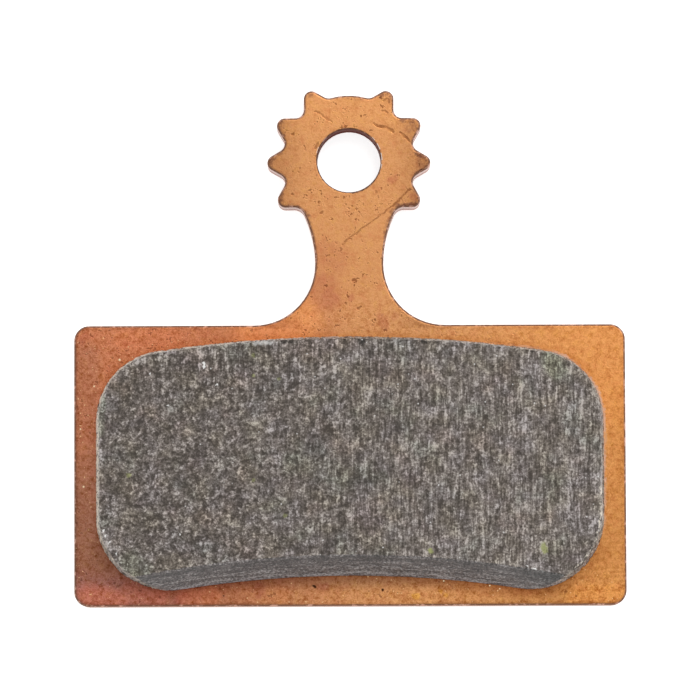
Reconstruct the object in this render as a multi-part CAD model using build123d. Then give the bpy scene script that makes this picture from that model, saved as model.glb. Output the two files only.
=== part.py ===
from build123d import *
from math import atan2, degrees, hypot, radians, sin, tan
import os

# Disc brake pad for a two-piston bicycle caliper, lying on its back with the friction side up.
# The backing plate is blanked from steel sheet: a wide body that the pistons push on, a short neck, and
# a toothed head that hangs on the caliper's retaining pin. The friction block is sintered onto the body.
# The origin is on the axis of the pin hole, in the plate's back face. +Y points to the head and +Z to
# the rotor, which turns about an axis along Z below the pad. Lengths are in millimetres.

# Backing plate: sheet and body
PLATE_THICKNESS = 1.8
BODY_WIDTH = 29.45
BODY_HEIGHT = 15.01
BODY_CORNER_RADIUS = 0.8
BODY_DROP = 8.83  # from the pin hole's axis down to the body's upper edge

# Backing plate: waisted neck between the head and the body
NECK_WIDTH = 3.65
NECK_FOOT_RADIUS = 3.28
NECK_CORNER_RADIUS = 0.6

# Backing plate: toothed head
PIN_HOLE_DIAMETER = 3.4
TEETH_PER_SIDE = 4
TEETH_DROP = 0.08  # from the pin hole's axis down to the centre of the ring of teeth
LAST_TOOTH_ANGLE = 120.7  # from the middle of the crown to the last tooth on each side
LAST_FLANK_LENGTH = 1.55  # from the sharp tip of the last tooth, before its rounding, in to the neck
TOOTH_FLANK_ANGLE = 30  # between a flank and the tooth's own axis
TOOTH_CREST_RADIUS = 4.37  # from the centre of the ring to the crests
TOOTH_CREST_ROUND = 0.42
TOOTH_GULLET_ROUND = 0.45
CROWN_DEPTH = 0.78  # below the crests, of the plain arc at the top, where one tooth is left out
CROWN_CORNER_RADIUS = 0.5

# Backing plate: edges rolled over by the blanking die, on the front only
EDGE_ROLL = 0.16
PIN_HOLE_EDGE_ROLL = 0.1

# Friction block
BLOCK_THICKNESS = 2.2
BLOCK_SIDE_MARGIN = 1.16  # bare plate beside the block's base
BLOCK_CROWN_MARGIN = 0.6  # bare plate above the middle of the block's upper arc
BLOCK_FOOT_MARGIN = 0.85  # bare plate below the block's lowest points, at its lower corners
BLOCK_CROWN_CORNER_RADIUS = 3.8
BLOCK_FOOT_CORNER_RADIUS = 3.9
BLOCK_DRAFT_ANGLE = 6
BLOCK_BEVEL_RUN = 0.99  # how far the bevel cuts into the face along the lower arc
BLOCK_BEVEL_LAND = 0.15  # wall left standing between the plate and the bevel

# Rotor
ROTOR_AXIS_DROP = 80.0  # from the pin hole's axis down to the rotor's axis

# Points of an outline that lie nearer than this are the same point.
SAME_PLACE = 0.01
# A rounding takes up at most this share of the wall or the corner that it runs along.
ROUNDING_LIMIT = 0.9

# The flanks of a tooth meet in a sharp tip, which the crest's rounding takes off.
flank_sine = sin(radians(TOOTH_FLANK_ANGLE))
tooth_pitch_angle = LAST_TOOTH_ANGLE / TEETH_PER_SIDE
tooth_tip_radius = TOOTH_CREST_RADIUS - TOOTH_CREST_ROUND + TOOTH_CREST_ROUND / flank_sine
gullet_radius = tooth_tip_radius * flank_sine / sin(radians(TOOTH_FLANK_ANGLE + tooth_pitch_angle / 2))
crown_radius = TOOTH_CREST_RADIUS - CROWN_DEPTH

# The neck rises from its waist in an arc and meets the lower flank of the last tooth in a rounded corner.
waist = Vector(NECK_WIDTH / 2, NECK_FOOT_RADIUS - BODY_DROP)
last_tip = Vector(0, tooth_tip_radius).rotate(Axis.Z, -LAST_TOOTH_ANGLE) - Vector(0, TEETH_DROP)
last_flank = Vector(0, -1).rotate(Axis.Z, TOOTH_FLANK_ANGLE - LAST_TOOTH_ANGLE)
neck_corner = last_tip + last_flank * LAST_FLANK_LENGTH
shoulder_lean = 2 * degrees(atan2(neck_corner.X - waist.X, neck_corner.Y - waist.Y))
neck_corner_angle = last_flank.get_angle(Vector(0, 1).rotate(Axis.Z, -shoulder_lean))
free_flank = LAST_FLANK_LENGTH - TOOTH_CREST_ROUND / tan(radians(TOOTH_FLANK_ANGLE))
free_corner_radius = free_flank * tan(radians(neck_corner_angle / 2))

# The block's base ends in two arcs about the rotor's axis. The lower one runs into the rounded corners,
# whose centres are set by the bare margins of the plate.
block_half_width = BODY_WIDTH / 2 - BLOCK_SIDE_MARGIN
block_crown_radius = ROTOR_AXIS_DROP - BODY_DROP - BLOCK_CROWN_MARGIN
foot_corner_x = block_half_width - BLOCK_FOOT_CORNER_RADIUS
foot_corner_y = BODY_DROP + BODY_HEIGHT - BLOCK_FOOT_MARGIN - BLOCK_FOOT_CORNER_RADIUS - ROTOR_AXIS_DROP
block_foot_radius = hypot(foot_corner_x, foot_corner_y) - BLOCK_FOOT_CORNER_RADIUS


def corners_at(sketch, radius):
    """The corners of an outline that lie at one radius from its centre."""
    return [corner for corner in sketch.vertices() if abs(hypot(corner.X, corner.Y) - radius) < SAME_PLACE]


def toothed_head():
    """Wedge teeth in a ring, with a plain crown where the top tooth is left out."""
    half_base = tooth_tip_radius * tan(radians(TOOTH_FLANK_ANGLE))
    wedge = Polygon((0, tooth_tip_radius), (-half_base, 0), (half_base, 0), align=None)
    first_tip = Vector(0, tooth_tip_radius).rotate(Axis.Z, tooth_pitch_angle)
    sector = Polygon((0, 0), (-first_tip.X, first_tip.Y), (first_tip.X, first_tip.Y), align=None)
    head = Circle(crown_radius) & sector
    for number in range(1, TEETH_PER_SIDE + 1):
        for side in (-1, 1):
            head += Rot(Z=side * number * tooth_pitch_angle) * wedge
    head = fillet(corners_at(head, crown_radius), CROWN_CORNER_RADIUS)
    head = fillet(corners_at(head, gullet_radius), TOOTH_GULLET_ROUND)
    return fillet(corners_at(head, tooth_tip_radius), TOOTH_CREST_ROUND)


def waisted_neck():
    """A strip from inside the body to inside the head, with one side drawn and the other mirrored."""
    with BuildSketch() as strip:
        with BuildLine():
            foot = CenterArc(waist + (NECK_FOOT_RADIUS, 0), NECK_FOOT_RADIUS, 180, 90)
            TangentArc(waist, neck_corner, tangent=(0, 1))
            foot_end = foot @ 1
            root_height = foot_end.Y - BODY_CORNER_RADIUS
            Polyline(neck_corner, (0, 0), (0, root_height), (foot_end.X, root_height), foot_end)
        make_face()
        mirror(about=Plane.YZ)
    return strip.sketch


def plate_outline():
    """Head, neck and body as one outline, with the corners between the neck and the teeth rounded."""
    body = RectangleRounded(BODY_WIDTH, BODY_HEIGHT, BODY_CORNER_RADIUS)
    head = Pos(0, -TEETH_DROP) * toothed_head()
    outline = head + waisted_neck() + Pos(0, -BODY_DROP - BODY_HEIGHT / 2) * body
    neck_corners = [
        corner
        for corner in outline.vertices()
        if hypot(abs(corner.X) - neck_corner.X, corner.Y - neck_corner.Y) < SAME_PLACE
    ]
    return fillet(neck_corners, min(NECK_CORNER_RADIUS, ROUNDING_LIMIT * free_corner_radius))


def backing_plate():
    """The blanked plate: square edges at the back, rolled edges at the front, and the pin hole."""
    plate = extrude(plate_outline(), amount=PLATE_THICKNESS)
    roll = min(EDGE_ROLL, ROUNDING_LIMIT * TOOTH_CREST_ROUND, ROUNDING_LIMIT * BODY_CORNER_RADIUS)
    plate = fillet(plate.faces().sort_by(Axis.Z)[-1].edges(), roll)
    hole_align = (Align.CENTER, Align.CENTER, Align.MIN)
    plate -= Cylinder(PIN_HOLE_DIAMETER / 2, PLATE_THICKNESS, align=hole_align)
    hole_rim = plate.faces().sort_by(Axis.Z)[-1].inner_wires()[0].edges()
    return fillet(hole_rim, PIN_HOLE_EDGE_ROLL)


def block_outline(inset):
    """The block between two arcs about the rotor's axis, drawn in all round by an inset from its base."""
    track = Circle(block_crown_radius - inset) - Circle(block_foot_radius + inset)
    strip = Rectangle(2 * (block_half_width - inset), 2 * BODY_HEIGHT)
    outline = track & Pos(0, ROTOR_AXIS_DROP - BODY_DROP - BODY_HEIGHT / 2) * strip
    outline = fillet(outline.vertices().sort_by(Axis.Y)[-2:], BLOCK_CROWN_CORNER_RADIUS - inset)
    return fillet(outline.vertices().sort_by(Axis.Y)[:2], BLOCK_FOOT_CORNER_RADIUS - inset)


def friction_block():
    """The drafted block on its seat on the plate, with a bevel along its lower arc."""
    draft_slope = tan(radians(BLOCK_DRAFT_ANGLE))
    base = block_outline(0)
    face = Pos(0, 0, BLOCK_THICKNESS) * block_outline(BLOCK_THICKNESS * draft_slope)
    block = loft([base.face(), face.face()], ruled=True)

    land_inset = BLOCK_BEVEL_LAND * draft_slope
    bevel_slope = (BLOCK_BEVEL_RUN - land_inset) / (BLOCK_THICKNESS - BLOCK_BEVEL_LAND)
    bevel_start_radius = block_foot_radius + land_inset - BLOCK_BEVEL_LAND * bevel_slope
    bevel_height = BLOCK_THICKNESS + BLOCK_BEVEL_LAND
    bevel_end_radius = bevel_start_radius + bevel_height * bevel_slope
    standing = (Align.CENTER, Align.CENTER, Align.MIN)
    block -= Cone(bevel_start_radius, bevel_end_radius, bevel_height, align=standing)
    return Pos(0, -ROTOR_AXIS_DROP, PLATE_THICKNESS) * block


os.makedirs("parts", exist_ok=True)
export_step(backing_plate(), "parts/backing_plate.step")
export_step(friction_block(), "parts/friction_block.step")
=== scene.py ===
import bpy
from math import cos, radians, sin, sqrt
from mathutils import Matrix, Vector


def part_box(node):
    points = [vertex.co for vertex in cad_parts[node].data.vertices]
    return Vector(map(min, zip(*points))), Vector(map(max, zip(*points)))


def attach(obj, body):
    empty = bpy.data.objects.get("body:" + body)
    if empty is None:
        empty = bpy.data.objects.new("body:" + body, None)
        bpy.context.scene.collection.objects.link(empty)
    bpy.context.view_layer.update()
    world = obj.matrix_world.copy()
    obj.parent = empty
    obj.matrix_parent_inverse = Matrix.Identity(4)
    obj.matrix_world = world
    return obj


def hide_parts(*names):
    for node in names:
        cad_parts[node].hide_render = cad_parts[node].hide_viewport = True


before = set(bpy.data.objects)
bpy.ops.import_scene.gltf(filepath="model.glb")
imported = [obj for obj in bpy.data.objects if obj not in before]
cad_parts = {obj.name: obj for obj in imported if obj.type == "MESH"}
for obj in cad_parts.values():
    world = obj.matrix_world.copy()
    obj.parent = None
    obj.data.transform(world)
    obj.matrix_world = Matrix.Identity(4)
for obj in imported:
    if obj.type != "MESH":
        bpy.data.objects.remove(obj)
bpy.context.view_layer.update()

# Backing plate
# A blanking of 1.8 mm steel sheet with a satin copper plating. The die has rolled its front edges over,
# and their dark lines and bright spots are painted shade and painted highlights. The heat that bonded
# the block to its front has left it mottled, and redder on the left and along the block, with painted
# shade below it.

MM = 0.001


def add_node(tree, kind, inputs=None, **properties):
    """A new node with its properties set, and each input either linked to a socket or set to a value."""
    new = tree.nodes.new(kind)
    for name, value in properties.items():
        setattr(new, name, value)
    for name, value in (inputs or {}).items():
        if isinstance(value, bpy.types.NodeSocket):
            tree.links.new(value, new.inputs[name])
        else:
            new.inputs[name].default_value = value
    return new


def math(tree, operation, first, second=0.0, third=0.0):
    """One sum on numbers."""
    inputs = {0: first, 1: second, 2: third}
    return add_node(tree, "ShaderNodeMath", inputs, operation=operation).outputs[0]


def product(tree, first, *others):
    """Several numbers or masks multiplied together."""
    for other in others:
        first = math(tree, "MULTIPLY", first, other)
    return first


def ramp(tree, value, low, high, to_low=0.0, to_high=1.0, smooth=True):
    """A value brought from one range to another and held at both ends."""
    # A smooth step holds its ends by itself, so only the straight ramp is clamped.
    kind = "SMOOTHSTEP" if smooth else "LINEAR"
    ends = {"Value": value, "From Min": low, "From Max": high, "To Min": to_low, "To Max": to_high}
    new = add_node(tree, "ShaderNodeMapRange", ends, interpolation_type=kind, clamp=not smooth)
    return new.outputs["Result"]


def vector(tree, operation, first, second=(0.0, 0.0, 0.0), third=(0.0, 0.0, 0.0)):
    """One sum on vectors that gives a vector."""
    inputs = {0: first, 1: second, 2: third}
    return add_node(tree, "ShaderNodeVectorMath", inputs, operation=operation).outputs[0]


def scaled(tree, first, factor):
    """A vector or a colour times a number."""
    new = add_node(tree, "ShaderNodeVectorMath", {0: first, "Scale": factor}, operation="SCALE")
    return new.outputs[0]


def measured(tree, operation, first, second=(0.0, 0.0, 0.0)):
    """One sum on vectors that gives a number."""
    new = add_node(tree, "ShaderNodeVectorMath", {0: first, 1: second}, operation=operation)
    return new.outputs["Value"]


def split(tree, whole):
    """The three parts of a vector."""
    return add_node(tree, "ShaderNodeSeparateXYZ", {0: whole}).outputs


def noise(tree, place, per_mm, detail=2.0, roughness=0.5):
    """Cloudy noise from 0 to 1, with a number of lumps in each millimetre."""
    inputs = {"Vector": place, "Scale": per_mm, "Detail": detail, "Roughness": roughness}
    return add_node(tree, "ShaderNodeTexNoise", inputs).outputs["Fac"]


def ripple(tree, place, per_mm, detail=2.0, roughness=0.5):
    """Cloudy noise that swings about zero."""
    return math(tree, "SUBTRACT", noise(tree, place, per_mm, detail, roughness), 0.5)


def swayed(tree, place, per_mm, reach):
    """A place pushed about by cloudy noise, as far as a reach along each axis."""
    cloud = add_node(tree, "ShaderNodeTexNoise", {"Vector": place, "Scale": per_mm}).outputs["Color"]
    return vector(tree, "MULTIPLY_ADD", vector(tree, "SUBTRACT", cloud, (0.5, 0.5, 0.5)), reach, place)


def blend(tree, share, first, second):
    """Two colours mixed by a share."""
    # The Mix node's colour sockets go by number, because its sockets for numbers have the same names.
    inputs = {0: share, 6: first, 7: second}
    return add_node(tree, "ShaderNodeMix", inputs, data_type="RGBA", clamp_factor=True).outputs[2]


def tinted(tree, colour, share, tint):
    """A colour drawn by a share towards itself times a tint."""
    return blend(tree, share, colour, vector(tree, "MULTIPLY", colour, tint))


# A mark is a line of one width between two places, or a spot where both are one place.
MARK_EDGE = (0.5, 0.2)  # where a mark begins and where it is full, in parts of its width
SPOT_REACH = 0.000001  # stands in for the length of a spot, by which its mark is divided
mark_group = bpy.data.node_groups.new("mark", "ShaderNodeTree")
for label, kind in (("Place", "Vector"), ("From", "Vector"), ("To", "Vector"), ("Width", "Float")):
    mark_group.interface.new_socket(label, in_out="INPUT", socket_type="NodeSocket" + kind)
mark_group.interface.new_socket("Mask", in_out="OUTPUT", socket_type="NodeSocketFloat")
tree = mark_group
given = tree.nodes.new("NodeGroupInput").outputs
reach = vector(tree, "SUBTRACT", given["To"], given["From"])
away = vector(tree, "SUBTRACT", given["Place"], given["From"])
reach_squared = math(tree, "ADD", measured(tree, "DOT_PRODUCT", reach, reach), SPOT_REACH)
share = math(tree, "DIVIDE", measured(tree, "DOT_PRODUCT", away, reach), reach_squared)
share = math(tree, "MINIMUM", math(tree, "MAXIMUM", share, 0.0), 1.0)
off_mark = measured(tree, "DISTANCE", away, scaled(tree, reach, share))
off_mark = math(tree, "DIVIDE", off_mark, given["Width"])
add_node(tree, "NodeGroupOutput", {"Mask": ramp(tree, off_mark, *MARK_EDGE)})


def marks(tree, place, height, paths):
    """The strongest of several marks, each a width, a strength and the points that it runs through."""
    found = None
    for width, strength, *points in paths:
        for start, end in list(zip(points, points[1:])) or [(points[0], points[0])]:
            mark = add_node(tree, "ShaderNodeGroup", node_tree=mark_group)
            tree.links.new(place, mark.inputs["Place"])
            mark.inputs["From"].default_value = (*start, height)
            mark.inputs["To"].default_value = (*end, height)
            mark.inputs["Width"].default_value = width
            mask = product(tree, mark.outputs["Mask"], strength)
            found = mask if found is None else math(tree, "MAXIMUM", found, mask)
    return found


plate_low, plate_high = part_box("backing_plate")
block_low, block_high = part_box("friction_block")
PLATE_FRONT_MM = plate_high.z / MM
BODY_HALF_WIDTH_MM = plate_high.x / MM
BODY_TOP_MM = -8.83
BODY_FOOT_MM = plate_low.y / MM
BODY_MIDDLE_MM = (BODY_TOP_MM + BODY_FOOT_MM) / 2
BODY_HALF_HEIGHT_MM = (BODY_TOP_MM - BODY_FOOT_MM) / 2
BODY_CORNER_RADIUS_MM = 0.8
TEETH_DROP_MM = 0.08  # from the pin hole's axis down to the centre of the ring of teeth
ROTOR_AXIS_MM = (0.0, -80.0, 0.0)
BLOCK_HALF_WIDTH_MM = block_high.x / MM
BLOCK_CROWN_RADIUS_MM = 70.57
BLOCK_FOOT_RADIUS_MM = 57.77
BLOCK_CROWN_CORNER_MM = 3.8
BLOCK_FOOT_CORNER_MM = 3.9
BLOCK_ARCS = (
    (1, BLOCK_CROWN_RADIUS_MM, BLOCK_CROWN_CORNER_MM),
    (-1, BLOCK_FOOT_RADIUS_MM, BLOCK_FOOT_CORNER_MM),
)
IN_PLANE = (1, 1, 0)  # takes the height out of a place


def rounded_distance(tree, first, second, radius):
    """Distance from a corner of two sides, rounded by a radius, from the distances from both sides."""
    first = math(tree, "ADD", first, radius)
    second = math(tree, "ADD", second, radius)
    inside = math(tree, "MINIMUM", math(tree, "MAXIMUM", first, second), 0.0)
    both = add_node(tree, "ShaderNodeCombineXYZ", {"X": first, "Y": second}).outputs[0]
    outside = measured(tree, "LENGTH", vector(tree, "MAXIMUM", both))
    return math(tree, "SUBTRACT", math(tree, "ADD", outside, inside), radius)


# Distance from the outline of the friction block's base, below zero inside it
outline_group = bpy.data.node_groups.new("block_outline", "ShaderNodeTree")
outline_group.interface.new_socket("Place", in_out="INPUT", socket_type="NodeSocketVector")
outline_group.interface.new_socket("Distance", in_out="OUTPUT", socket_type="NodeSocketFloat")
tree = outline_group
from_axis = vector(tree, "SUBTRACT", tree.nodes.new("NodeGroupInput").outputs["Place"], ROTOR_AXIS_MM)
from_axis = vector(tree, "ABSOLUTE", vector(tree, "MULTIPLY", from_axis, IN_PLANE))
x, y, _ = split(tree, from_axis)
radius = measured(tree, "LENGTH", from_axis)
off_block = math(tree, "SUBTRACT", x, BLOCK_HALF_WIDTH_MM)
for side, arc, _ in BLOCK_ARCS:
    off_block = math(tree, "MAXIMUM", off_block, math(tree, "MULTIPLY_ADD", radius, side, -side * arc))
for side, arc, corner in BLOCK_ARCS:
    centre_x = BLOCK_HALF_WIDTH_MM - corner
    centre_y = sqrt((arc - side * corner) ** 2 - centre_x ** 2)
    beyond = product(tree, math(tree, "SUBTRACT", y, centre_y), side)
    turned = math(tree, "MULTIPLY_ADD", x, centre_y, product(tree, y, -centre_x))
    in_corner = product(
        tree,
        math(tree, "GREATER_THAN", beyond, 0.0),
        math(tree, "GREATER_THAN", turned, 0.0),
    )
    from_centre = measured(tree, "DISTANCE", from_axis, (centre_x, centre_y, 0.0))
    excess = math(tree, "SUBTRACT", math(tree, "SUBTRACT", from_centre, corner), off_block)
    off_block = math(tree, "MULTIPLY_ADD", in_corner, excess, off_block)
add_node(tree, "NodeGroupOutput", {"Distance": off_block})


def distance_off_block(tree, place):
    """The outline group placed in a material."""
    outline = add_node(tree, "ShaderNodeGroup", {"Place": place}, node_tree=outline_group)
    return outline.outputs["Distance"]


GOLDEN_COPPER = (0.68, 0.315, 0.127, 1)
RED_COPPER = (0.60, 0.212, 0.100, 1)
ROLLED_EDGE_SHADE = (0.28, 0.15, 0.10, 1)
EDGE_HIGHLIGHT = (0.72, 0.46, 0.36, 1)
PALE_STRIP = (0.74, 0.47, 0.35, 1)
SPARKLE = (1.0, 0.70, 0.36, 1)
GLINT_SPECK = (1.0, 0.84, 0.54, 1)
RIM_GLINT = (1.0, 0.88, 0.80, 1)
SHEARED_WALL = (0.40, 0.185, 0.090, 1)
FLOOR_REFLECTING_WALL = (0.44, 0.265, 0.22, 1)
TORN_WALL = (0.29, 0.130, 0.066, 1)
BORE_SHADE = (0.16, 0.07, 0.06, 1)
BORE_SHADE_GRAZING = (0.35, 0.22, 0.20, 1)
PLAIN_GRAZING = (1, 1, 1, 1)
ORANGE_TINT = (1.10, 1.00, 0.78)
AMBER_TINT = (1.03, 0.99, 0.88)
DULL_TINT = (0.60, 0.71, 0.88)
FOOT_TINT = (1.31, 1.18, 0.99)
PLUM_TINT = (1.02, 0.98, 1.32)
CREST_TINT = (1.08, 1.07, 1.02)
HALO_SHADE_TINT = (0.62, 0.47, 0.42)
CROWN_HALO_TINT = (0.92, 0.84, 0.74)
BESIDE_LIGHT_TINT = (1.10, 1.13, 1.20)
CLOUD_TINT = (0.95, 0.86, 0.87)
GOLD_TINT = (1.03, 1.06, 0.91)
STAIN_TINT = (0.84, 0.70, 0.80)
GLOW_TINT = (1.28, 1.22, 1.05)
EMBER_TINT = (1.21, 1.05, 0.96)
GOLD_GLINT_TINT = (1.15, 1.22, 0.72)
HOLE_TINT = (0.10, 0.08, 0.07)
PIT_TINT = (0.46, 0.36, 0.30)
EDGE_SHADE_TINT = (0.40, 0.38, 0.52)
BORDER_SHADE_TINT = (0.64, 0.60, 0.58)
GRAIN_SHARES = (0.84, 1.20, 1.60)  # how far the grain shades red, green and blue

# Where each finish begins and where it is full, in millimetres across or along the plate
RED_ACROSS_MM = (4.0, -9.0)
RED_DOWN_MM = (-5.0, -9.5)
RED_SWAY_MM = 9.0
ORANGE_ACROSS_MM = (3.0, 13.0)
AMBER_DOWN_MM = (-10.5, -13.5)
DULL_DOWN_MM = (-9.5, -20.0)
DULL_SWAY_MM = 8.0
DULL_ACROSS_MM = (-13.0, 13.0)
DULL_AT_RIGHT = 0.40
FOOT_DOWN_MM = (-22.4, -23.2)
FOOT_FROM_LEFT_MM = (-8.0, -1.0)
FOOT_AT_LEFT = 0.35
FOOT_FROM_RIGHT_MM = (11.0, 3.0)
PLUM_DOWN_MM = (-21.5, -23.0)
PLUM_ACROSS_MM = (-6.0, -11.0)
CREST_UP_MM = (0.5, 3.0)
BELOW_BLOCK_MM = (-19.0, -21.5)
ABOVE_BLOCK_MM = (-13.0, -11.0)
HALO_MM = (1.1, 0.15)  # off the block
HALO_SWAY_MM = 0.5
HALO_ENDS_MM = (13.0, 9.0)
HALO_AT_ENDS = 0.25
CROWN_HALO_MM = (0.7, 0.25)  # off the block
BESIDE_MM = (0.9, 0.1)  # off the block
PITS_ACROSS_MM = (3.0, 11.0)
PITS_AT_RIGHT = 0.3
PALE_STRIP_MM = (0.38, 0.26)  # off the block
PALE_STRIP_UP_MM = (-20.5, -18.5)
PALE_STRIP_ACROSS_MM = (6.0, 12.5)
TOOTH_TIPS_MM = (4.80, 5.10)  # off the centre of the ring of teeth, with the sway
TOOTH_TIPS_SWAY_MM = 1.4
TOOTH_TIPS_UP_MM = (-3.0, -2.8)
BORDER_MM = (0.02, 0.25)  # off the body's outline, with the sway
BORDER_SWAY_MM = 0.6
BORDER_RIGHT_MM = (14.0, 14.4)
BORDER_AT_RIGHT = 0.45
BORDER_OFF_NECK_MM = (1.9, 4.5)
TORN_DOWN_MM = (1.50, 0.95)
TORN_SWAY_MM = 0.7
FLOOR_REFLECTION_UP_MM = (-9.0, -3.0)
BORE_REACH_MM = (1.85, 1.75)  # off the pin hole's axis
MARK_SWAY_MM = (0.3, 0.3, 0.0)
DENT_DEPTH_MM = 0.03

# Coarseness of the grain: where it changes, and what it is before and after
COARSE_ACROSS = (-3.0, -10.0, 0.6, 2.5)
COARSE_DOWN = (
    (-20.0, -22.5, 0.6, 2.4),
    (-6.0, -9.0, 0.65, 1.7),
    (-4.0, -2.0, 0.65, 0.9),
)

# Marks on the front of the plate, each a width, a strength and its points, in millimetres
SCRATCHES = (
    (0.17, 0.90, (3.29, -1.52), (2.33, -2.48)),
    (0.13, 0.75, (2.33, -2.48), (-0.36, -4.46)),
    (0.19, 0.95, (1.33, 1.99), (1.54, 1.88), (2.08, 1.77), (2.34, 1.55)),
    (0.17, 0.95, (2.72, 1.50), (2.93, 1.39), (3.25, 1.06)),
    (0.17, 0.85, (-1.83, 2.64), (-1.56, 2.54)),
    (0.12, 0.65, (-1.56, 2.54), (-1.24, 2.32), (-0.92, 2.05)),
    (0.17, 0.85, (1.81, 2.68), (2.08, 2.58)),
    (0.13, 0.75, (1.87, 3.22), (2.08, 3.28), (2.14, 3.11)),
    (0.20, 0.90, (-1.75, 0.71), (-1.64, 0.92)),
)
PITS = (
    (0.22, 0.8, (-2.99, 1.44)),
    (0.22, 0.7, (-3.02, -1.79)),
    (0.18, 0.7, (0.12, -2.47)),
    (0.20, 0.7, (0.38, -2.64)),
    (0.24, 0.7, (-1.45, -2.77)),
    (0.22, 0.5, (1.46, -1.70)),
    (0.16, 0.7, (-1.75, 0.22)),
    (0.16, 0.6, (-3.02, -0.53)),
    (0.16, 0.6, (-2.70, -0.61)),
    (0.16, 0.6, (-2.64, -0.45)),
    (0.24, 0.9, (0.20, -6.41), (0.32, -6.40)),
    (0.18, 0.6, (0.29, -6.55)),
    (0.18, 0.8, (0.48, -7.94), (0.60, -7.87)),
    (0.16, 0.6, (-1.20, -5.10), (-1.02, -5.08)),
    (0.24, 0.7, (11.46, -23.11)),
    (0.20, 0.7, (12.04, -23.33)),
    (0.22, 0.7, (-10.18, -23.35)),
)
HOLES = (
    (0.24, 1.0, (-1.95, -22.79), (-1.88, -22.80)),
    (0.22, 1.0, (1.71, -23.02)),
    (0.14, 0.8, (-6.75, -23.25)),
)
GLOWS = (
    (4.5, 0.9, (-4.6, -8.95), (-3.2, -8.6)),
    (1.6, 0.45, (-13.8, -23.35), (-3.8, -23.35)),
    (1.8, 0.5, (12.2, -23.35), (14.0, -23.35)),
)
EMBERS = (
    (1.8, 0.9, (-14.0, -23.2), (-12.4, -23.7)),
    (1.4, 0.8, (-8.8, -23.5), (-7.4, -23.3)),
    (1.8, 0.6, (-11.6, -22.9), (-10.4, -23.3)),
    (1.6, 0.3, (-12.0, -9.6), (-9.5, -9.5)),
)
# Painted highlights: gold glints
GOLD_GLINTS = (
    (0.42, 0.9, (3.42, -23.32), (3.60, -23.30)),
    (0.38, 0.9, (4.80, -23.05)),
    (0.34, 0.7, (5.10, -23.30)),
)
RIM_GLINTS = (
    (0.07, 0.9, (1.52, 0.90), (1.66, 0.62)),
    (0.08, 1.0, (1.72, 0.38), (1.77, 0.05)),
    (0.07, 0.8, (1.76, -0.22), (1.71, -0.42)),
    (0.06, 0.7, (1.26, 1.24), (1.38, 1.10)),
    (0.06, 0.6, (-1.62, 0.72), (-1.72, 0.42)),
)
# Painted highlights: white-gold specks
GLINT_SPECKS = (
    (0.11, 1.0, (4.97, -22.52)),
    (0.11, 1.0, (7.42, -22.78)),
    (0.10, 0.9, (7.95, -22.95)),
    (0.14, 0.9, (-14.22, -17.43)),
    (0.15, 0.9, (-12.29, -10.65)),
    (0.12, 0.8, (-13.65, -12.06)),
    (0.12, 0.8, (-14.38, -14.35)),
)
DULLED = (
    (2.6, 0.45, (-14.2, -10.6), (-14.2, -13.5)),
)
# Painted shade on the tooth tips and along the edges of the head, where the rolled edge is widest
EDGE_SHADES = (
    (1.5, 0.45, (-3.75, 2.05)),
    (1.0, 0.50, (-2.15, 3.70)),
    (1.3, 0.50, (2.15, 3.60)),
    (1.6, 0.45, (3.60, 1.85)),
    (1.5, 0.50, (4.20, -0.08)),
    (1.4, 0.55, (3.75, -2.20)),
    (0.44, 1.0, (3.64, 0.40), (4.11, 0.19), (4.27, -0.14), (4.09, -0.48), (3.64, -0.73)),
    (0.44, 1.0, (3.50, -1.45), (3.76, -1.90), (3.70, -2.23), (3.38, -2.42), (2.60, -2.48)),
    (0.42, 0.9, (2.90, 2.18), (3.40, 2.10), (3.70, 1.96), (3.68, 1.70)),
    (0.40, 0.9, (1.70, 3.52), (1.98, 3.64), (2.23, 3.48)),
    (0.42, 0.9, (-3.45, 2.20), (-3.76, 2.06), (-3.74, 1.85), (-3.50, 1.42)),
    (0.40, 0.9, (-3.64, 0.46), (-4.07, 0.18), (-4.26, -0.06), (-4.17, -0.32)),
    (0.42, 0.9, (-3.67, -1.80), (-3.72, -2.07), (-3.54, -2.38), (-2.80, -2.50)),
    (0.50, 0.80, (-2.32, -2.85), (-1.98, -4.30), (-1.86, -5.40)),
    (0.40, 0.65, (2.36, -2.75), (2.00, -3.70), (1.88, -5.15)),
    (0.40, 0.60, (-1.05, 3.42), (0.95, 3.42)),
)
STAINS = (
    (2.2, 0.55, (-1.5, -5.0), (-0.8, -5.3)),
    (2.4, 0.65, (-1.40, -6.70), (-1.30, -7.30)),
    (1.1, 0.80, (-1.43, -6.44)),
    (1.3, 0.90, (-1.15, -7.20), (-0.95, -7.40)),
    (0.5, 0.80, (0.06, -7.36)),
    (0.9, 0.70, (1.73, -8.48), (1.85, -8.81)),
    (0.7, 0.50, (2.41, -8.39)),
    (0.7, 0.80, (3.45, -1.95)),
    (0.6, 0.70, (2.28, -1.06), (2.45, -0.98)),
    (0.6, 0.90, (-1.62, -22.80), (-1.30, -22.80)),
    (0.9, 0.70, (-4.9, -23.1), (-4.9, -22.9)),
    (0.7, 0.60, (-9.17, -23.51)),
    (0.8, 0.60, (-14.22, -9.50)),
)

copper = bpy.data.materials.new("satin_copper_plating")
copper.use_nodes = True
tree = copper.node_tree
tree.nodes.clear()
coordinates = add_node(tree, "ShaderNodeTexCoord").outputs
place = scaled(tree, coordinates["Object"], 1 / MM)
x, y, z = split(tree, place)
_, endways, facing = split(tree, coordinates["Normal"])
facing = math(tree, "ABSOLUTE", facing)
off_middle = math(tree, "ABSOLUTE", x)

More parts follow.
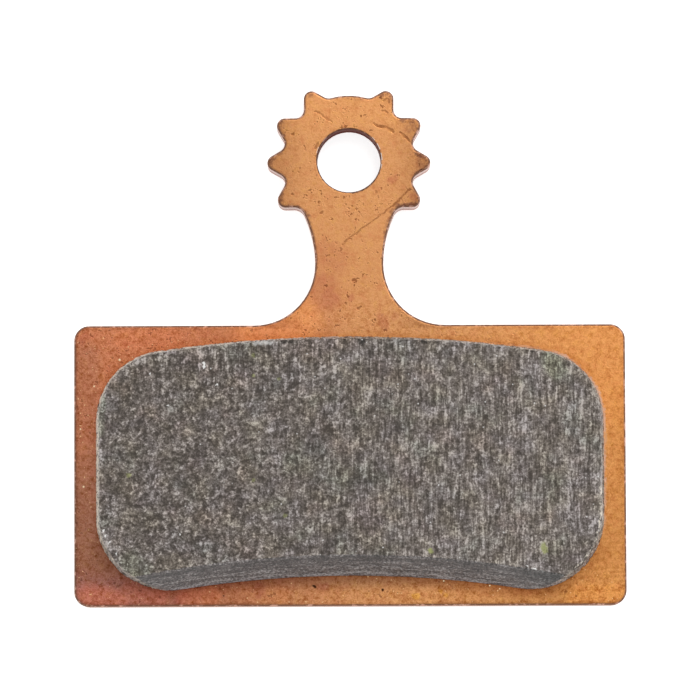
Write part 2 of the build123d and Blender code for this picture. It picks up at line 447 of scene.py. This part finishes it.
# Golden on the head, red on the left, orange on the right, and duller towards the foot
clouds = ripple(tree, place, per_mm=0.35, detail=3.0, roughness=0.6)
redness = ramp(tree, math(tree, "MULTIPLY_ADD", clouds, RED_SWAY_MM, x), *RED_ACROSS_MM)
redness = product(tree, redness, ramp(tree, y, *RED_DOWN_MM))
colour = blend(tree, redness, GOLDEN_COPPER, RED_COPPER)
rightward = ramp(tree, x, *ORANGE_ACROSS_MM)
colour = tinted(tree, colour, rightward, ORANGE_TINT)
colour = tinted(tree, colour, product(tree, rightward, ramp(tree, y, *AMBER_DOWN_MM)), AMBER_TINT)
dullness = ramp(tree, math(tree, "MULTIPLY_ADD", clouds, DULL_SWAY_MM, y), *DULL_DOWN_MM)
dullness = product(tree, dullness, ramp(tree, x, *DULL_ACROSS_MM, 1.0, DULL_AT_RIGHT))
dullness = math(tree, "MAXIMUM", dullness, marks(tree, place, PLATE_FRONT_MM, DULLED))
colour = tinted(tree, colour, dullness, DULL_TINT)
brighter_foot = product(
    tree,
    ramp(tree, y, *FOOT_DOWN_MM),
    ramp(tree, x, *FOOT_FROM_LEFT_MM, FOOT_AT_LEFT, 1.0),
    ramp(tree, x, *FOOT_FROM_RIGHT_MM),
)
colour = tinted(tree, colour, brighter_foot, FOOT_TINT)
plum = product(tree, ramp(tree, y, *PLUM_DOWN_MM), ramp(tree, x, *PLUM_ACROSS_MM))
colour = tinted(tree, colour, plum, PLUM_TINT)
colour = tinted(tree, colour, ramp(tree, y, *CREST_UP_MM), CREST_TINT)

# Redder along the block's crown and foot from the heat. Below the block this is also painted shade,
# and the paler strips beside it are painted light that offsets the shade the block casts there
off_block = distance_off_block(tree, place)
ragged = noise(tree, place, per_mm=1.6, detail=2.0, roughness=0.6)
ragged = math(tree, "MULTIPLY_ADD", ragged, HALO_SWAY_MM, off_block)
low = ramp(tree, y, *BELOW_BLOCK_MM)
below = product(tree, low, ramp(tree, off_middle, *HALO_ENDS_MM, HALO_AT_ENDS, 1.0))
colour = tinted(tree, colour, product(tree, ramp(tree, ragged, *HALO_MM), below), HALO_SHADE_TINT)
above = ramp(tree, y, *ABOVE_BLOCK_MM)
colour = tinted(tree, colour, product(tree, ramp(tree, ragged, *CROWN_HALO_MM), above), CROWN_HALO_TINT)
beside = math(tree, "SUBTRACT", 1.0, math(tree, "MAXIMUM", above, low))
colour = tinted(tree, colour, product(tree, ramp(tree, off_block, *BESIDE_MM), beside), BESIDE_LIGHT_TINT)

# Fine grain of the plating, stains, small pits and scratches
grain = ripple(tree, place, per_mm=4.2, detail=3.0, roughness=0.88)
coarseness = ramp(tree, x, *COARSE_ACROSS)
for zone in COARSE_DOWN:
    coarseness = math(tree, "MAXIMUM", coarseness, ramp(tree, y, *zone))
shades = vector(tree, "MULTIPLY_ADD", product(tree, grain, coarseness), GRAIN_SHARES, (1, 1, 1))
colour = vector(tree, "MULTIPLY", colour, shades)
mottle = noise(tree, place, per_mm=2.3, detail=3.0, roughness=0.8)
colour = tinted(tree, colour, ramp(tree, mottle, 0.50, 0.70), CLOUD_TINT)
colour = tinted(tree, colour, ramp(tree, mottle, 0.48, 0.30), GOLD_TINT)
bent = swayed(tree, place, per_mm=3.0, reach=MARK_SWAY_MM)
# The gold glints among these patches are painted highlights
for patches, patch_tint in (
    (STAINS, STAIN_TINT),
    (GLOWS, GLOW_TINT),
    (EMBERS, EMBER_TINT),
    (GOLD_GLINTS, GOLD_GLINT_TINT),
    (HOLES, HOLE_TINT),
):
    colour = tinted(tree, colour, marks(tree, bent, PLATE_FRONT_MM, patches), patch_tint)
pitted = product(
    tree,
    ramp(tree, noise(tree, place, per_mm=4.2, detail=2.0, roughness=0.7), 0.585, 0.67),
    ramp(tree, noise(tree, place, per_mm=0.9), 0.40, 0.60, 0.15, 1.0),
    ramp(tree, x, *PITS_ACROSS_MM, 1.0, PITS_AT_RIGHT),
)
pitted = math(tree, "MAXIMUM", pitted, marks(tree, bent, PLATE_FRONT_MM, PITS))
scored = marks(tree, bent, PLATE_FRONT_MM, SCRATCHES)
scored = product(tree, scored, ramp(tree, grain, -0.1, 0.06, 0.4, 1.0))
pitted = math(tree, "MAXIMUM", pitted, scored)
colour = tinted(tree, colour, pitted, PIT_TINT)

# Painted highlights: bright specks where grains catch the light, and glints on the pin hole's rim. Then
# a paler band along the block's right side
specks = ramp(tree, noise(tree, place, per_mm=9.0, detail=0.0), 0.77, 0.86, 0.0, 0.8)
specks = product(tree, specks, ramp(tree, coarseness, 1.8, 2.3))
colour = blend(tree, specks, colour, SPARKLE)
colour = blend(tree, marks(tree, place, PLATE_FRONT_MM, GLINT_SPECKS), colour, GLINT_SPECK)
colour = blend(tree, marks(tree, place, PLATE_FRONT_MM, RIM_GLINTS), colour, RIM_GLINT)
pale_strip = product(
    tree,
    ramp(tree, math(tree, "MULTIPLY_ADD", mottle, 0.5, off_block), *PALE_STRIP_MM, 0.0, 0.8),
    ramp(tree, noise(tree, place, per_mm=1.1), 0.36, 0.56, 0.2, 1.0),
    ramp(tree, y, *PALE_STRIP_UP_MM),
    ramp(tree, x, *PALE_STRIP_ACROSS_MM),
)
colour = blend(tree, pale_strip, colour, PALE_STRIP)

# Painted shade on the tooth tips, along the outline and on the rolled edge, with painted highlights on
# the edge
# Painted shade on the tooth tips, where the die rolled the edge furthest, and along the head's edges
from_ring = vector(tree, "MULTIPLY_ADD", place, IN_PLANE, (0.0, TEETH_DROP_MM, 0.0))
tips = math(tree, "MULTIPLY_ADD", mottle, TOOTH_TIPS_SWAY_MM, measured(tree, "LENGTH", from_ring))
tips = ramp(tree, tips, *TOOTH_TIPS_MM, 0.0, 0.65)
tips = product(tree, tips, ramp(tree, y, *TOOTH_TIPS_UP_MM))
tip_and_edge_shade = marks(tree, bent, PLATE_FRONT_MM, EDGE_SHADES)
tip_and_edge_shade = product(tree, tip_and_edge_shade, ramp(tree, mottle, 0.40, 0.60, 0.15, 1.0))
colour = tinted(tree, colour, math(tree, "MAXIMUM", tips, tip_and_edge_shade), EDGE_SHADE_TINT)
# Painted shade in a band along the body's outline, widening the dark line of the rolled edge
off_end = math(tree, "ABSOLUTE", math(tree, "SUBTRACT", y, BODY_MIDDLE_MM))
off_end = math(tree, "SUBTRACT", off_end, BODY_HALF_HEIGHT_MM)
off_side = math(tree, "SUBTRACT", off_middle, BODY_HALF_WIDTH_MM)
off_body = rounded_distance(tree, off_side, off_end, BODY_CORNER_RADIUS_MM)
border_shade = product(
    tree,
    ramp(tree, math(tree, "MULTIPLY_ADD", mottle, BORDER_SWAY_MM, off_body), *BORDER_MM, 0.0, 0.8),
    ramp(tree, x, *BORDER_RIGHT_MM, 1.0, BORDER_AT_RIGHT),
    ramp(tree, off_middle, *BORDER_OFF_NECK_MM),
)
colour = tinted(tree, colour, border_shade, BORDER_SHADE_TINT)
# Painted shade on the rolled edge, where it curves away from the light, broken by painted highlights
# where it catches the light
rolled = math(tree, "MULTIPLY_ADD", facing, 2.0, product(tree, mottle, 0.5))
rolled = ramp(tree, rolled, 2.20, 1.88)
edge_glints = ramp(tree, noise(tree, place, per_mm=3.2, detail=2.0, roughness=0.7), 0.50, 0.66)
colour = blend(tree, rolled, colour, blend(tree, edge_glints, ROLLED_EDGE_SHADE, EDGE_HIGHLIGHT))

# The side walls, burnished by the die near the front and torn near the back, with a mauve cast of
# painted reflection on the downward walls of the head and neck, and painted shade on the pin hole's wall
torn = noise(tree, place, per_mm=0.9, detail=3.0, roughness=0.7)
torn = ramp(tree, math(tree, "MULTIPLY_ADD", torn, TORN_SWAY_MM, z), *TORN_DOWN_MM)
die_lines = vector(tree, "MULTIPLY", place, (9.0, 9.0, 0.8))
die_lines = noise(tree, die_lines, per_mm=1.0, detail=2.0, roughness=0.6)
crumbly = noise(tree, place, per_mm=5.0, detail=3.0, roughness=0.75)
wall_grain = math(tree, "SUBTRACT", crumbly, die_lines)
wall_grain = math(tree, "MULTIPLY_ADD", torn, wall_grain, die_lines)
wall_colour = blend(tree, torn, SHEARED_WALL, TORN_WALL)
# A slight mauve over the copper-brown of the downward walls of the head and neck, a painted reflection
# of the floor
floor_reflection = product(tree, ramp(tree, endways, -0.15, -0.6), ramp(tree, y, *FLOOR_REFLECTION_UP_MM))
wall_colour = blend(tree, floor_reflection, wall_colour, FLOOR_REFLECTING_WALL)
wall_contrast = ramp(tree, torn, 0.0, 1.0, 0.4, 1.0)
wall_shade = product(tree, math(tree, "SUBTRACT", wall_grain, 0.5), wall_contrast)
wall_colour = scaled(tree, wall_colour, math(tree, "ADD", wall_shade, 1.0))
wall_colour = tinted(tree, wall_colour, ramp(tree, mottle, 0.45, 0.65), CLOUD_TINT)
# Painted shade on the pin hole's wall
from_pin = measured(tree, "LENGTH", vector(tree, "MULTIPLY", place, IN_PLANE))
bored = ramp(tree, from_pin, *BORE_REACH_MM)
wall_colour = blend(tree, bored, wall_colour, BORE_SHADE)
walled = ramp(tree, facing, 0.45, 0.2)
colour = blend(tree, walled, colour, wall_colour)

# Dents and gloss
dented = math(tree, "SUBTRACT", grain, pitted)
dented = math(tree, "MULTIPLY_ADD", product(tree, wall_shade, walled), 1.5, dented)
dents = {"Height": dented, "Strength": 0.5, "Distance": DENT_DEPTH_MM * MM}
bump = add_node(tree, "ShaderNodeBump", dents)
roughness = math(tree, "MULTIPLY_ADD", rolled, 0.3, ramp(tree, grain, -0.3, 0.3, 0.52, 0.38))
wall_roughness = ramp(tree, torn, 0.0, 1.0, 0.32, 0.52)
wall_change = math(tree, "SUBTRACT", wall_roughness, roughness)
roughness = math(tree, "MULTIPLY_ADD", walled, wall_change, roughness)
# Painted shade in the pin hole's glancing reflections
grazing = blend(tree, bored, PLAIN_GRAZING, BORE_SHADE_GRAZING)
surface = {"Base Color": colour, "Metallic": 1.0, "Roughness": roughness, "Specular Tint": grazing}
surface["Normal"] = bump.outputs[0]
shader = add_node(tree, "ShaderNodeBsdfPrincipled", surface)
add_node(tree, "ShaderNodeOutputMaterial", {"Surface": shader.outputs[0]})

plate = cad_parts["backing_plate"]
plate.data.materials.clear()
plate.data.materials.append(copper)

# Friction block
# Metal and mineral powder, pressed in a die and sintered onto the plate, so its walls have a little
# draft. The face is ground flat, which leaves torn grains and fine lines. A bevel is ground along the
# lower arc.

VOXEL_MM = 0.08
MERGE_GAP_MM = 0.0001
SEAT_BAND_MM = 0.3 * VOXEL_MM
FACE_MM = block_high.z / MM
SEAT_MM = block_low.z / MM
BEVEL_RUN_MM = 0.99
BEVEL_EDGE_RADIUS_MM = BLOCK_FOOT_RADIUS_MM + BEVEL_RUN_MM
BEVEL_RUN_PER_RISE = 0.475
TEAR_DEPTH_MM = 0.06
STREAK_DEPTH_MM = 0.025
CRUMBLE_DEPTH_MM = 0.14
PRESS_STRETCH = 0.6  # how fine the grain is along the height, for 1 across, as pressing draws it out
GRAIN_SWAY_MM = (0.35, 0.35, 0.35)
GRIND_LINES = (5.5, 0.6, 1.0)  # how close the lines of grinding on the face lie, along each axis
BEVEL_STREAKS = (0.55, 0.0, 3.7)  # the same for the streaks along the bevel
BEVEL_RIPPLES = (10.13, -22.29)  # radians for each millimetre of height, and where they start
BEVEL_RIPPLE_FADE = (2.6, 3.0, 0.08, 0.024)  # heights where they fade, and strength at both ends

# Bands of the bevel: the heights where each begins and is full, and how much lighter it is
BEVEL_BANDS = (
    (2.6, 3.1, -0.15),
    (3.3, 3.6, -0.20),
    (3.86, 3.95, 0.24),
    (2.4, 1.95, 0.13),
)

block_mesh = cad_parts["friction_block"].data.copy()
block = bpy.data.objects.new("friction_block_grained", block_mesh)
bpy.context.scene.collection.objects.link(block)
bpy.ops.object.select_all(action="DESELECT")
block.select_set(True)
bpy.context.view_layer.objects.active = block
bpy.ops.object.mode_set(mode="EDIT")
bpy.ops.mesh.select_all(action="SELECT")
bpy.ops.mesh.remove_doubles(threshold=MERGE_GAP_MM * MM)
bpy.ops.object.mode_set(mode="OBJECT")

# The remesher's finest cell is 0.1 units, so the block is remeshed while it is drawn in millimetres.
block.scale = (1 / MM,) * 3
bpy.ops.object.transform_apply(location=False, rotation=False, scale=True)
cells = block.modifiers.new("cells", "REMESH")
cells.mode = "VOXEL"
cells.voxel_size = VOXEL_MM
bpy.ops.object.modifier_apply(modifier="cells")
block.scale = (MM,) * 3
bpy.ops.object.transform_apply(location=False, rotation=False, scale=True)

# The seat is flat and hidden, so its cells are dissolved into one face.
bpy.ops.object.mode_set(mode="EDIT")
bpy.ops.mesh.select_all(action="DESELECT")
bpy.ops.mesh.select_mode(type="FACE")
bpy.ops.object.mode_set(mode="OBJECT")
for face in block.data.polygons:
    face.select = face.center.z < block_low.z + SEAT_BAND_MM * MM
bpy.ops.object.mode_set(mode="EDIT")
bpy.ops.mesh.dissolve_faces()
bpy.ops.object.mode_set(mode="OBJECT")


def sinter_fields(tree, place):
    """Tone of the torn grains and of the bevel, both from 0 to 1, and where the bevel is."""
    x, y, z = split(tree, place)
    face_slice = (0.0, 0.0, (1 - PRESS_STRETCH) * FACE_MM)
    drawn = vector(tree, "MULTIPLY_ADD", place, (1, 1, PRESS_STRETCH), face_slice)
    bent = swayed(tree, drawn, per_mm=4.0, reach=GRAIN_SWAY_MM)
    bent = vector(tree, "MULTIPLY", bent, (1, 0.7, 1))
    grains = add_node(tree, "ShaderNodeTexVoronoi", {"Vector": bent, "Scale": 4.6}).outputs["Color"]
    flakes = ripple(tree, drawn, per_mm=3.0, detail=2.0, roughness=0.9)
    fine = ripple(tree, drawn, per_mm=8.0, detail=1.0, roughness=0.8)
    cloud = ripple(tree, drawn, per_mm=0.9, detail=1.0, roughness=0.6)
    reach = math(tree, "MAXIMUM", ramp(tree, x, -9.0, 2.0, 0.1, 1.0), ramp(tree, y, -14.5, -10.5))
    lines = vector(tree, "MULTIPLY", place, GRIND_LINES)
    lines = product(tree, ripple(tree, lines, per_mm=1.0, detail=2.0, roughness=0.85), reach)
    tone = math(tree, "MULTIPLY_ADD", grains, 0.42, 0.26)
    for part, share in (
        (flakes, ramp(tree, x, -9.0, 6.0, 1.75, 1.0)),
        (fine, 0.9),
        (cloud, 0.35),
        (lines, 1.3),
        (x, 0.004),
    ):
        tone = math(tree, "MULTIPLY_ADD", part, share, tone)

    from_axis = vector(tree, "MULTIPLY_ADD", place, IN_PLANE, (0.0, -ROTOR_AXIS_MM[1], 0.0))
    depth = math(tree, "SUBTRACT", FACE_MM, z)
    edge = math(tree, "MULTIPLY_ADD", depth, -BEVEL_RUN_PER_RISE, BEVEL_EDGE_RADIUS_MM)
    within = math(tree, "SUBTRACT", measured(tree, "LENGTH", from_axis), edge)
    bevel = ramp(tree, math(tree, "MULTIPLY_ADD", flakes, 0.15, within), 0.05, 0.11, 1.0, 0.0)
    tone = math(tree, "ADD", tone, ramp(tree, within, 0.40, 0.10, 0.0, 0.05))
    ground = ripple(tree, place, per_mm=8.0, detail=1.0, roughness=0.8)
    streaks = vector(tree, "MULTIPLY", place, BEVEL_STREAKS)
    streaks = ripple(tree, streaks, per_mm=1.0, detail=2.0, roughness=0.9)
    bevel_tone = math(tree, "MULTIPLY_ADD", streaks, 1.8, math(tree, "MULTIPLY_ADD", ground, 2.1, 0.51))
    bands = math(tree, "COSINE", math(tree, "MULTIPLY_ADD", z, *BEVEL_RIPPLES))
    bands = product(tree, bands, ramp(tree, z, *BEVEL_RIPPLE_FADE))
    for start, full, lightness in BEVEL_BANDS:
        bands = math(tree, "ADD", bands, ramp(tree, z, start, full, 0.0, lightness))
    return tone, math(tree, "ADD", bevel_tone, bands), bevel


# Torn grains and streaks are sunk into the surface, and the walls crumble inwards. The seat stays flat.
relief = bpy.data.node_groups.new("sinter_relief", "GeometryNodeTree")
relief.interface.new_socket("Geometry", in_out="INPUT", socket_type="NodeSocketGeometry")
relief.interface.new_socket("Geometry", in_out="OUTPUT", socket_type="NodeSocketGeometry")
tree = relief
place = scaled(tree, add_node(tree, "GeometryNodeInputPosition").outputs[0], 1 / MM)
tone, bevel_tone, bevel = sinter_fields(tree, place)
_, _, z = split(tree, place)
torn = ramp(tree, tone, 0.75, 0.15, 0.0, TEAR_DEPTH_MM, smooth=False)
streaked = ramp(tree, bevel_tone, 0.7, 0.2, 0.0, STREAK_DEPTH_MM, smooth=False)
unbevelled = math(tree, "SUBTRACT", 1.0, bevel)
sunk = product(tree, torn, unbevelled)
sunk = math(tree, "MULTIPLY_ADD", streaked, bevel, sunk)
sunk = product(tree, sunk, ramp(tree, z, SEAT_MM + 0.05, SEAT_MM + 0.25))
normal = add_node(tree, "GeometryNodeInputNormal").outputs[0]
push = scaled(tree, normal, product(tree, sunk, -MM))
_, endways, facing = split(tree, normal)
lumps = noise(tree, place, per_mm=3.4, detail=2.0, roughness=0.8)
crumbled = product(
    tree,
    ramp(tree, lumps, 0.48, 0.74, 0.0, -CRUMBLE_DEPTH_MM * MM),
    ramp(tree, math(tree, "ABSOLUTE", endways), 0.2, 0.8, 0.6, 1.0),
    ramp(tree, facing, 0.9, 0.6),
    unbevelled,
)
push = vector(tree, "ADD", push, scaled(tree, vector(tree, "MULTIPLY", normal, IN_PLANE), crumbled))
entry = add_node(tree, "NodeGroupInput")
moved = add_node(tree, "GeometryNodeSetPosition", {"Geometry": entry.outputs[0], "Offset": push})
add_node(tree, "NodeGroupOutput", {0: moved.outputs[0]})
worn = block.modifiers.new("relief", "NODES")
worn.node_group = relief
bpy.ops.object.modifier_apply(modifier="relief")
bpy.ops.object.shade_smooth()

GRAIN_TONES = (
    (0.10, (0.052, 0.040, 0.031, 1)),
    (0.30, (0.092, 0.074, 0.061, 1)),
    (0.48, (0.147, 0.122, 0.106, 1)),
    (0.66, (0.258, 0.223, 0.198, 1)),
    (0.88, (0.520, 0.468, 0.430, 1)),
)
BEVEL_TONES = (
    (0.10, (0.066, 0.060, 0.057, 1)),
    (0.35, (0.125, 0.110, 0.105, 1)),
    (0.50, (0.170, 0.150, 0.144, 1)),
    (0.70, (0.250, 0.228, 0.220, 1)),
    (0.90, (0.420, 0.395, 0.385, 1)),
)
PALE_WALL = (0.92, 0.83, 0.70, 1)
FLECK = (0.34, 0.36, 0.13, 1)
WHITE_GLINT = (0.85, 0.84, 0.82, 1)
GREENISH_TINT = (0.88, 0.95, 0.92)
RUDDY_TINT = (1.08, 1.02, 1.02)
RUSTY_TINT = (1.02, 1.01, 0.93)
SLATY_TINT = (0.98, 0.99, 1.06)
CHIP_TINT = (0.12, 0.10, 0.08)
OLIVE_TINT = (0.86, 1.04, 0.82)
BEVEL_FOOT_TINT = (1.15, 1.18, 1.25)
BEVEL_END_TINT = (0.55, 0.57, 0.56)
LEFTWARD_MM = (2.0, -11.0)  # where the compound turns dusty towards the left
DUSTY_RIM_MM = (-0.75, -0.2)  # off the block's outline
BEVEL_END_MM = (8.0, 10.5)
MARK_HEIGHT_MM = FACE_MM - 0.03

# Marks on the face of the block, each a width, a strength and its points, in millimetres
FLECKS = (
    (0.34, 0.7, (-11.73, -16.93)),
    (0.30, 0.7, (-5.10, -10.59)),
    (0.26, 0.6, (-5.10, -11.65)),
    (0.30, 0.7, (-3.43, -19.08)),
    (0.40, 0.9, (4.24, -20.97)),
    (0.46, 0.8, (10.20, -20.72), (10.30, -20.98)),
    (0.24, 0.6, (-3.77, -11.82)),
    (0.26, 0.6, (-5.11, -17.22)),
)
PALE_EDGES = (
    (0.24, 0.8, (13.32, -17.60), (13.32, -19.10), (13.10, -20.35), (12.48, -21.43), (11.90, -21.95)),
)
CHIPS = (
    (0.40, 0.9, (-3.58, -9.83), (-3.40, -9.81)),
    (0.34, 0.8, (-3.11, -9.81)),
    (0.52, 0.9, (0.68, -9.86)),
    (0.32, 0.8, (3.85, -9.86), (4.05, -9.87)),
    (0.36, 0.8, (9.73, -10.34)),
    (0.32, 0.7, (-10.16, -10.56)),
)
OLIVE_PATCHES = (
    (1.8, 0.5, (-11.6, -21.6), (-11.1, -22.0)),
    (1.5, 0.6, (10.6, -10.8), (11.0, -11.4)),
    (2.0, 0.25, (-3.0, -16.4), (-1.0, -16.8)),
    (0.8, 0.5, (-13.2, -12.9), (-13.3, -14.6)),
)
# Painted highlights on single grains
WHITE_GLINTS = (
    (0.34, 0.4, (-5.05, -9.90), (-4.20, -9.84)),
    (0.20, 1.0, (-7.73, -10.98), (-7.73, -11.20)),
    (0.14, 0.9, (-7.04, -12.12)),
    (0.16, 0.9, (-10.58, -11.52)),
    (0.14, 0.8, (-9.64, -13.25)),
    (0.16, 1.0, (-12.95, -20.15)),
    (0.13, 0.9, (-12.75, -20.45)),
    (0.13, 0.9, (-13.02, -19.85)),
    (0.14, 0.9, (-12.35, -21.05)),
    (0.14, 0.9, (-9.05, -20.05)),
    (0.20, 1.0, (9.65, -21.95), (9.80, -21.98)),
    (0.13, 0.9, (9.35, -21.80)),
    (0.13, 0.8, (8.15, -20.05)),
)


def tone_ramp(tree, tone, stops):
    """Colours laid out along a tone."""
    new = add_node(tree, "ShaderNodeValToRGB", {"Fac": tone})
    elements = new.color_ramp.elements
    while len(elements) < len(stops):
        elements.new(0.5)
    for element, (position, stop_colour) in zip(elements, stops):
        element.position = position
        element.color = stop_colour
    return new.outputs["Color"]


sinter = bpy.data.materials.new("sintered_compound")
sinter.use_nodes = True
tree = sinter.node_tree
tree.nodes.clear()
coordinates = add_node(tree, "ShaderNodeTexCoord").outputs
place = scaled(tree, coordinates["Object"], 1 / MM)
tone, bevel_tone, bevel = sinter_fields(tree, place)
x, _, z = split(tree, place)
_, endways, facing = split(tree, coordinates["Normal"])
off_block = distance_off_block(tree, place)
unbevelled = math(tree, "SUBTRACT", 1.0, bevel)
walled = product(tree, ramp(tree, facing, 0.75, 0.4), unbevelled)

# Torn grains, dustier towards the left; the walls are paler as dust and as painted light, since they get
# less light than the face
leftward = ramp(tree, x, *LEFTWARD_MM)
dust_and_light = product(tree, ramp(tree, off_block, *DUSTY_RIM_MM), leftward)
wall_tone_dust_and_light = product(tree, walled, math(tree, "MAXIMUM", leftward, 0.6))
dust_and_light = math(tree, "MAXIMUM", dust_and_light, wall_tone_dust_and_light)
grit = vector(tree, "MULTIPLY", place, (1, 1, 0.25))
grit = noise(tree, grit, per_mm=4.5, detail=2.0, roughness=0.8)
chipped = product(tree, math(tree, "SUBTRACT", grit, 0.5), walled)
pale = math(tree, "MULTIPLY_ADD", dust_and_light, 0.20, math(tree, "MULTIPLY_ADD", chipped, 1.1, tone))
colour = tone_ramp(tree, pale, GRAIN_TONES)
patches = noise(tree, place, per_mm=0.55, detail=2.0, roughness=0.6)
colour = tinted(tree, colour, ramp(tree, patches, 0.52, 0.72), GREENISH_TINT)
colour = tinted(tree, colour, ramp(tree, patches, 0.48, 0.30), RUDDY_TINT)
rusty = noise(tree, place, per_mm=0.8, detail=1.0, roughness=0.6)
colour = tinted(tree, colour, ramp(tree, rusty, 0.50, 0.68), RUSTY_TINT)
colour = tinted(tree, colour, ramp(tree, rusty, 0.50, 0.32), SLATY_TINT)

# Olive patches, chipped edges, a pale lower right edge, coloured flecks, and white glints that are
# painted highlights
bent = swayed(tree, place, per_mm=5.0, reach=MARK_SWAY_MM)
colour = tinted(tree, colour, marks(tree, bent, MARK_HEIGHT_MM, OLIVE_PATCHES), OLIVE_TINT)
colour = tinted(tree, colour, marks(tree, bent, MARK_HEIGHT_MM, CHIPS), CHIP_TINT)
pale_edge = marks(tree, bent, MARK_HEIGHT_MM, PALE_EDGES)
pale_edge = product(tree, pale_edge, ramp(tree, grit, 0.42, 0.58, 0.1, 1.0))
colour = blend(tree, pale_edge, colour, PALE_WALL)
flecked = marks(tree, bent, MARK_HEIGHT_MM, FLECKS)
flecked = product(tree, flecked, ramp(tree, tone, 0.3, 0.6, 0.5, 1.0))
colour = blend(tree, flecked, colour, FLECK)
# Painted highlights: white glints on single grains
dots = add_node(tree, "ShaderNodeTexVoronoi", {"Vector": place, "Scale": 1.2}).outputs["Distance"]
glints = ramp(tree, dots, 0.07, 0.03, 0.0, 0.7)
glints = math(tree, "MAXIMUM", glints, marks(tree, bent, MARK_HEIGHT_MM, WHITE_GLINTS))
colour = blend(tree, glints, colour, WHITE_GLINT)

# The streaked bevel, paler at its foot and darker at its right end
bevel_colour = tone_ramp(tree, bevel_tone, BEVEL_TONES)
bevel_foot = ramp(tree, z, SEAT_MM + 0.1, SEAT_MM + 0.6, 0.8, 0.0)
bevel_colour = tinted(tree, bevel_colour, bevel_foot, BEVEL_FOOT_TINT)
bevel_end = product(tree, ramp(tree, x, *BEVEL_END_MM), ramp(tree, z, 2.6, 3.2, 0.25, 1.0))
bevel_colour = tinted(tree, bevel_colour, bevel_end, BEVEL_END_TINT)
colour = blend(tree, bevel, colour, bevel_colour)

# Pale dust on the pressed walls, thickest at their feet and on the left, made brighter as painted light
# since the walls get less light than the face
dust_height = math(tree, "MULTIPLY_ADD", leftward, -1.2, z)
wall_dust_and_light = product(
    tree,
    ramp(tree, math(tree, "MULTIPLY_ADD", leftward, 0.08, grit), 0.44, 0.62),
    ramp(tree, dust_height, SEAT_MM + 1.0, SEAT_MM + 0.1, 0.15, 1.0),
    ramp(tree, endways, -0.5, -0.2, 0.2, 1.0),
    ramp(tree, endways, 0.6, 0.9, 1.0, 0.6),
    ramp(tree, leftward, 0.0, 0.8, 0.55, 1.0),
)
colour = blend(tree, product(tree, walled, wall_dust_and_light), colour, PALE_WALL)

tears = {"Height": tone, "Strength": 0.4, "Distance": TEAR_DEPTH_MM * MM}
bump = add_node(tree, "ShaderNodeBump", tears)
roughness = ramp(tree, tone, 0.3, 0.8, 0.7, 0.45)
surface = {"Base Color": colour, "Roughness": roughness, "Normal": bump.outputs[0]}
shader = add_node(tree, "ShaderNodeBsdfPrincipled", surface)
add_node(tree, "ShaderNodeOutputMaterial", {"Surface": shader.outputs[0]})
block.data.materials.clear()
block.data.materials.append(sinter)
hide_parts("friction_block")
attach(block, "root")

# Studio
# A pale floor under the pad, an even dome of light and one large soft lamp at the upper right. The floor
# glows a little where it is seen or mirrored, so that it stays pale without lighting the pad.

FLOOR_SIZE = 1.2
FLOOR_DROP = 0.00001
FLOOR_PAINT = (0.9, 0.9, 0.9, 1)
FLOOR_GLOW = 0.70
SKY_RISE = (0.05, 0.7)  # how high the dome starts to brighten and where it is brightest
SKY_STRENGTH = (0.55, 0.95)
LAMP_PLACE = (0.12, 0.2, 0.3)
LAMP_TARGET = Vector((0, -0.01, 0))
LAMP_SIZE = 0.25
LAMP_POWER = 0.5
bpy.ops.object.select_all(action="DESELECT")
bpy.ops.mesh.primitive_plane_add(size=FLOOR_SIZE, location=(0, 0, -FLOOR_DROP))
floor = bpy.context.object
floor.name = "studio_floor"
floor_paint = bpy.data.materials.new("pale_floor")
floor_paint.use_nodes = True
tree = floor_paint.node_tree
tree.nodes.clear()
light_path = add_node(tree, "ShaderNodeLightPath").outputs
seen = math(tree, "MAXIMUM", light_path["Is Camera Ray"], light_path["Is Glossy Ray"])
seen = math(tree, "MAXIMUM", seen, light_path["Is Transmission Ray"])
matte = add_node(tree, "ShaderNodeBsdfDiffuse", {"Color": FLOOR_PAINT})
glow = add_node(tree, "ShaderNodeEmission", {"Strength": product(tree, seen, FLOOR_GLOW)})
both = add_node(tree, "ShaderNodeAddShader", {0: matte.outputs[0], 1: glow.outputs[0]})
add_node(tree, "ShaderNodeOutputMaterial", {"Surface": both.outputs[0]})
floor.data.materials.append(floor_paint)

world = bpy.data.worlds.new("studio_dome")
bpy.context.scene.world = world
world.use_nodes = True
tree = world.node_tree
tree.nodes.clear()
_, _, height = split(tree, add_node(tree, "ShaderNodeTexCoord").outputs["Generated"])
sky = add_node(tree, "ShaderNodeBackground", {"Strength": ramp(tree, height, *SKY_RISE, *SKY_STRENGTH)})
add_node(tree, "ShaderNodeOutputWorld", {"Surface": sky.outputs[0]})

bpy.ops.object.light_add(type="AREA", location=LAMP_PLACE)
lamp = bpy.context.object
lamp.name = "soft_lamp"
lamp.data.shape = "SQUARE"
lamp.data.size = LAMP_SIZE
lamp.data.energy = LAMP_POWER
lamp.rotation_euler = (LAMP_TARGET - lamp.location).to_track_quat("-Z", "Y").to_euler()

# Camera
# The photograph's own view: almost square on to the face, from slightly below, through a long lens.

CAMERA_TILT = radians(3.8)
CAMERA_ROLL = radians(0.22)
CAMERA_DISTANCE = 0.3
CAMERA_TARGET = Vector((0.0000226, -0.010171, 0.0018))
CAMERA_LENS = 288.74
camera_place = CAMERA_TARGET + CAMERA_DISTANCE * Vector((0, -sin(CAMERA_TILT), cos(CAMERA_TILT)))
bpy.ops.object.camera_add(location=camera_place)
camera = bpy.context.object
camera.rotation_mode = "ZYX"
camera.rotation_euler = (CAMERA_TILT, 0, -CAMERA_ROLL)
camera.data.lens = CAMERA_LENS
bpy.context.scene.camera = camera
bpy.context.scene.view_settings.view_transform = "Standard"
